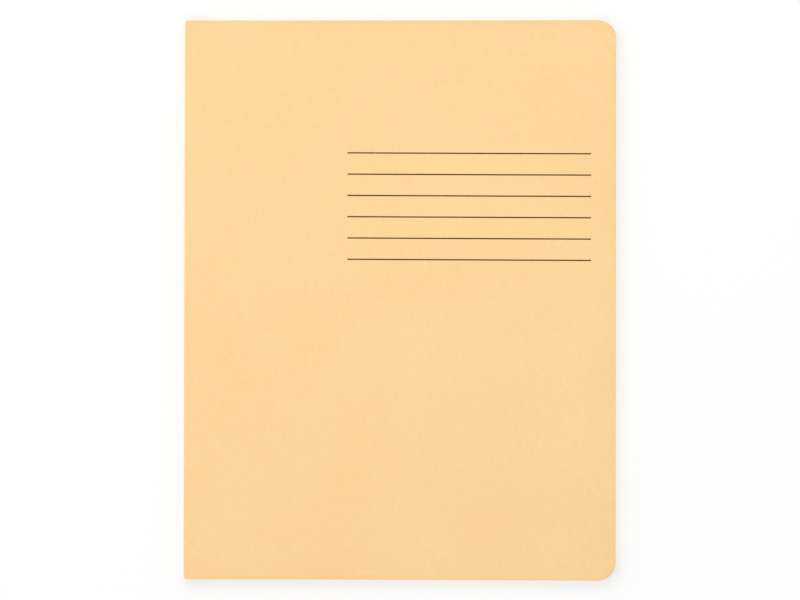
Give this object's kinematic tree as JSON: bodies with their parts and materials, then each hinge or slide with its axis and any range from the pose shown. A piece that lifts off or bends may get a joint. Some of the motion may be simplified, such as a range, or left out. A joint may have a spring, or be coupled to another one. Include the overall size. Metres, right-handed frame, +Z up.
{
  "type": "three-flap folder",
  "caption": "Closed card folder with a creased spine, a plain cover with ruled title lines, and gusseted flaps at the fore-edge, head and foot that fold over loose sheets.",
  "frame": {"origin": "on the surface the closed folder lies on, under the middle of its outline", "axes": "+X from the spine to the fore-edge, +Y towards the head of the cover, +Z up through the closed folder, out of the front cover"},
  "size_m": [0.243, 0.315, 0.0071],
  "materials": {
    "card": "matte",
    "ink": "matte"
  },
  "bodies": {
    "base": {"back_cover": "card", "spine_rear_crease": "card", "side_rear_crease": "card", "head_rear_crease": "card", "foot_rear_crease": "card"},
    "spine_panel": {"spine": "card", "spine_front_crease": "card"},
    "cover_panel": {"front_cover": "card", "ruled_line_1": "ink", "ruled_line_2": "ink", "ruled_line_3": "ink", "ruled_line_4": "ink", "ruled_line_5": "ink", "ruled_line_6": "ink"},
    "side_gusset_panel": {"side_gusset": "card", "side_front_crease": "card"},
    "side_flap_panel": {"side_flap": "card"},
    "head_gusset_panel": {"head_gusset": "card", "head_front_crease": "card"},
    "head_flap_panel": {"head_flap": "card"},
    "foot_gusset_panel": {"foot_gusset": "card", "foot_front_crease": "card"},
    "foot_flap_panel": {"foot_flap": "card"}
  },
  "joints": [
    {"name": "spine_rear_fold", "type": "hinge", "parent": "base", "child": "spine_panel", "pos_m": [-0.12133, 0, 0.00017], "axis": [0, -1, 0], "range_deg": [0, 90]},
    {"name": "spine_front_fold", "type": "hinge", "parent": "spine_panel", "child": "cover_panel", "pos_m": [-0.12133, 0, 0.00683], "axis": [0, -1, 0], "range_deg": [0, 90]},
    {"name": "side_rear_fold", "type": "hinge", "parent": "base", "child": "side_gusset_panel", "pos_m": [0.12033, 0, 0.00017], "axis": [0, 1, 0], "range_deg": [0, 90]},
    {"name": "side_front_fold", "type": "hinge", "parent": "side_gusset_panel", "child": "side_flap_panel", "pos_m": [0.12033, 0, 0.00617], "axis": [0, 1, 0], "range_deg": [0, 90]},
    {"name": "head_rear_fold", "type": "hinge", "parent": "base", "child": "head_gusset_panel", "pos_m": [0, 0.15632, 0.00017], "axis": [-1, 0, 0], "range_deg": [0, 90]},
    {"name": "head_front_fold", "type": "hinge", "parent": "head_gusset_panel", "child": "head_flap_panel", "pos_m": [0, 0.15632, 0.00553], "axis": [-1, 0, 0], "range_deg": [0, 90]},
    {"name": "foot_rear_fold", "type": "hinge", "parent": "base", "child": "foot_gusset_panel", "pos_m": [0, -0.15632, 0.00017], "axis": [1, 0, 0], "range_deg": [0, 90]},
    {"name": "foot_front_fold", "type": "hinge", "parent": "foot_gusset_panel", "child": "foot_flap_panel", "pos_m": [0, -0.15632, 0.00553], "axis": [1, 0, 0], "range_deg": [0, 90]}
  ],
  "couplings": [
    {"joint": "side_rear_fold", "follows": "spine_rear_fold", "ratio": 1},
    {"joint": "head_rear_fold", "follows": "spine_rear_fold", "ratio": 1},
    {"joint": "foot_rear_fold", "follows": "spine_rear_fold", "ratio": 1},
    {"joint": "side_front_fold", "follows": "spine_front_fold", "ratio": 1},
    {"joint": "head_front_fold", "follows": "spine_front_fold", "ratio": 1},
    {"joint": "foot_front_fold", "follows": "spine_front_fold", "ratio": 1}
  ]
}
